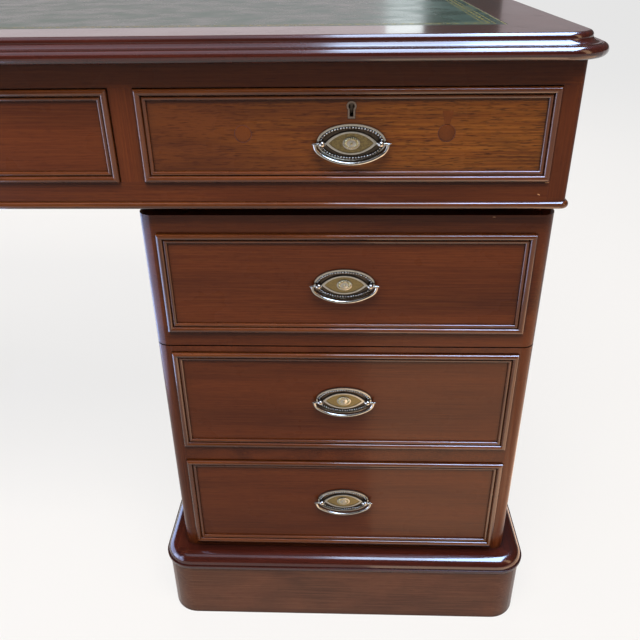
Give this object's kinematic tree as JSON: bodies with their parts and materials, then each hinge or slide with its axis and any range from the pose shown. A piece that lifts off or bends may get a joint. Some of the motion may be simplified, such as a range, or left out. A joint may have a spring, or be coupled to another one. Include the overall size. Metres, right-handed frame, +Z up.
{
  "type": "pedestal desk",
  "caption": "Mahogany kneehole desk: moulded top with a leather inset, frieze and pedestals with sliding drawers, oval plates with swinging bail handles, and moulded plinths.",
  "frame": {"origin": "on the floor, under the middle of the desk", "axes": "+X along the desk to the sitter's right, +Y to the back, +Z up; the drawers open towards -Y"},
  "size_m": [1.61, 0.762, 0.775],
  "materials": {
    "polished_mahogany": "French polish, glossy, worn on the edges",
    "worn_mahogany": "old polish gone dull, scuffed",
    "drawer_lining_oak": "planed, bare",
    "pine_groundwork": "planed, bare",
    "aged_brass": "worn bright on the high parts, dark in the hollows",
    "green_leather": "smooth skiver, gilt-tooled border"
  },
  "bodies": {
    "carcass": {"frieze_back": "polished_mahogany", "frieze_bead": "polished_mahogany", "frieze_ends": "polished_mahogany", "frieze_front_frame": "polished_mahogany", "frieze_runners": "drawer_lining_oak", "leather_inset": "green_leather", "left_pedestal_back": "polished_mahogany", "left_pedestal_boards": "polished_mahogany", "left_pedestal_rails": "polished_mahogany", "left_pedestal_sides": "polished_mahogany", "left_plinth_boards": "worn_mahogany", "left_plinth_moulding": "worn_mahogany", "right_pedestal_back": "polished_mahogany", "right_pedestal_boards": "polished_mahogany", "right_pedestal_rails": "polished_mahogany", "right_pedestal_sides": "polished_mahogany", "right_plinth_boards": "worn_mahogany", "right_plinth_moulding": "worn_mahogany", "top_border": "polished_mahogany", "top_nosing": "polished_mahogany", "top_panel": "pine_groundwork"},
    "frieze_centre_drawer": {"frieze_centre_drawer_front": "polished_mahogany", "frieze_centre_drawer_box": "drawer_lining_oak", "frieze_centre_handle_and_lock": "aged_brass"},
    "frieze_centre_bail": {"frieze_centre_handle_bail": "aged_brass"},
    "frieze_centre_bolt": {"frieze_centre_lock_bolt": "aged_brass"},
    "left_frieze_drawer": {"left_frieze_drawer_front": "polished_mahogany", "left_frieze_drawer_box": "drawer_lining_oak", "left_frieze_handle_and_lock": "aged_brass"},
    "left_frieze_bail": {"left_frieze_handle_bail": "aged_brass"},
    "left_frieze_bolt": {"left_frieze_lock_bolt": "aged_brass"},
    "right_frieze_drawer": {"right_frieze_drawer_front": "polished_mahogany", "right_frieze_drawer_box": "drawer_lining_oak", "right_frieze_handle_and_lock": "aged_brass"},
    "right_frieze_bail": {"right_frieze_handle_bail": "aged_brass"},
    "right_frieze_bolt": {"right_frieze_lock_bolt": "aged_brass"},
    "left_top_drawer": {"left_top_drawer_front": "polished_mahogany", "left_top_drawer_box": "drawer_lining_oak", "left_top_handle_plate": "aged_brass"},
    "left_top_bail": {"left_top_handle_bail": "aged_brass"},
    "left_middle_drawer": {"left_middle_drawer_front": "polished_mahogany", "left_middle_drawer_box": "drawer_lining_oak", "left_middle_handle_plate": "aged_brass"},
    "left_middle_bail": {"left_middle_handle_bail": "aged_brass"},
    "left_bottom_drawer": {"left_bottom_drawer_front": "polished_mahogany", "left_bottom_drawer_box": "drawer_lining_oak", "left_bottom_handle_plate": "aged_brass"},
    "left_bottom_bail": {"left_bottom_handle_bail": "aged_brass"},
    "right_top_drawer": {"right_top_drawer_front": "polished_mahogany", "right_top_drawer_box": "drawer_lining_oak", "right_top_handle_plate": "aged_brass"},
    "right_top_bail": {"right_top_handle_bail": "aged_brass"},
    "right_middle_drawer": {"right_middle_drawer_front": "polished_mahogany", "right_middle_drawer_box": "drawer_lining_oak", "right_middle_handle_plate": "aged_brass"},
    "right_middle_bail": {"right_middle_handle_bail": "aged_brass"},
    "right_bottom_drawer": {"right_bottom_drawer_front": "polished_mahogany", "right_bottom_drawer_box": "drawer_lining_oak", "right_bottom_handle_plate": "aged_brass"},
    "right_bottom_bail": {"right_bottom_handle_bail": "aged_brass"}
  },
  "joints": [
    {"name": "frieze_centre_drawer_slide", "type": "slide", "parent": "carcass", "child": "frieze_centre_drawer", "axis": [0, -1, 0], "range_m": [0, 0.45]},
    {"name": "frieze_centre_bail_hinge", "type": "hinge", "parent": "frieze_centre_drawer", "child": "frieze_centre_bail", "pos_m": [0, -0.3646, 0.6762], "axis": [-1, 0, 0], "range_deg": [-6, 186]},
    {"name": "frieze_centre_bolt_throw", "type": "slide", "parent": "frieze_centre_drawer", "child": "frieze_centre_bolt", "axis": [0, 0, 1], "range_m": [0, 0.006]},
    {"name": "left_frieze_drawer_slide", "type": "slide", "parent": "carcass", "child": "left_frieze_drawer", "axis": [0, -1, 0], "range_m": [0, 0.45]},
    {"name": "left_frieze_bail_hinge", "type": "hinge", "parent": "left_frieze_drawer", "child": "left_frieze_bail", "pos_m": [-0.5615, -0.3646, 0.6762], "axis": [-1, 0, 0], "range_deg": [-6, 186]},
    {"name": "left_frieze_bolt_throw", "type": "slide", "parent": "left_frieze_drawer", "child": "left_frieze_bolt", "axis": [0, 0, 1], "range_m": [0, 0.006]},
    {"name": "right_frieze_drawer_slide", "type": "slide", "parent": "carcass", "child": "right_frieze_drawer", "axis": [0, -1, 0], "range_m": [0, 0.45]},
    {"name": "right_frieze_bail_hinge", "type": "hinge", "parent": "right_frieze_drawer", "child": "right_frieze_bail", "pos_m": [0.5615, -0.3646, 0.6762], "axis": [-1, 0, 0], "range_deg": [-6, 186]},
    {"name": "right_frieze_bolt_throw", "type": "slide", "parent": "right_frieze_drawer", "child": "right_frieze_bolt", "axis": [0, 0, 1], "range_m": [0, 0.006]},
    {"name": "left_top_drawer_slide", "type": "slide", "parent": "carcass", "child": "left_top_drawer", "axis": [0, -1, 0], "range_m": [0, 0.45]},
    {"name": "left_top_bail_hinge", "type": "hinge", "parent": "left_top_drawer", "child": "left_top_bail", "pos_m": [-0.5555, -0.3501, 0.51578], "axis": [-1, 0, 0], "range_deg": [-6, 186]},
    {"name": "left_middle_drawer_slide", "type": "slide", "parent": "carcass", "child": "left_middle_drawer", "axis": [0, -1, 0], "range_m": [0, 0.45]},
    {"name": "left_middle_bail_hinge", "type": "hinge", "parent": "left_middle_drawer", "child": "left_middle_bail", "pos_m": [-0.5555, -0.3491, 0.35865], "axis": [-1, 0, 0], "range_deg": [-6, 186]},
    {"name": "left_bottom_drawer_slide", "type": "slide", "parent": "carcass", "child": "left_bottom_drawer", "axis": [0, -1, 0], "range_m": [0, 0.45]},
    {"name": "left_bottom_bail_hinge", "type": "hinge", "parent": "left_bottom_drawer", "child": "left_bottom_bail", "pos_m": [-0.5555, -0.3491, 0.19567], "axis": [-1, 0, 0], "range_deg": [-6, 186]},
    {"name": "right_top_drawer_slide", "type": "slide", "parent": "carcass", "child": "right_top_drawer", "axis": [0, -1, 0], "range_m": [0, 0.45]},
    {"name": "right_top_bail_hinge", "type": "hinge", "parent": "right_top_drawer", "child": "right_top_bail", "pos_m": [0.5555, -0.3501, 0.51578], "axis": [-1, 0, 0], "range_deg": [-6, 186]},
    {"name": "right_middle_drawer_slide", "type": "slide", "parent": "carcass", "child": "right_middle_drawer", "axis": [0, -1, 0], "range_m": [0, 0.45]},
    {"name": "right_middle_bail_hinge", "type": "hinge", "parent": "right_middle_drawer", "child": "right_middle_bail", "pos_m": [0.5555, -0.3491, 0.35865], "axis": [-1, 0, 0], "range_deg": [-6, 186]},
    {"name": "right_bottom_drawer_slide", "type": "slide", "parent": "carcass", "child": "right_bottom_drawer", "axis": [0, -1, 0], "range_m": [0, 0.45]},
    {"name": "right_bottom_bail_hinge", "type": "hinge", "parent": "right_bottom_drawer", "child": "right_bottom_bail", "pos_m": [0.5555, -0.3491, 0.19567], "axis": [-1, 0, 0], "range_deg": [-6, 186]}
  ]
}
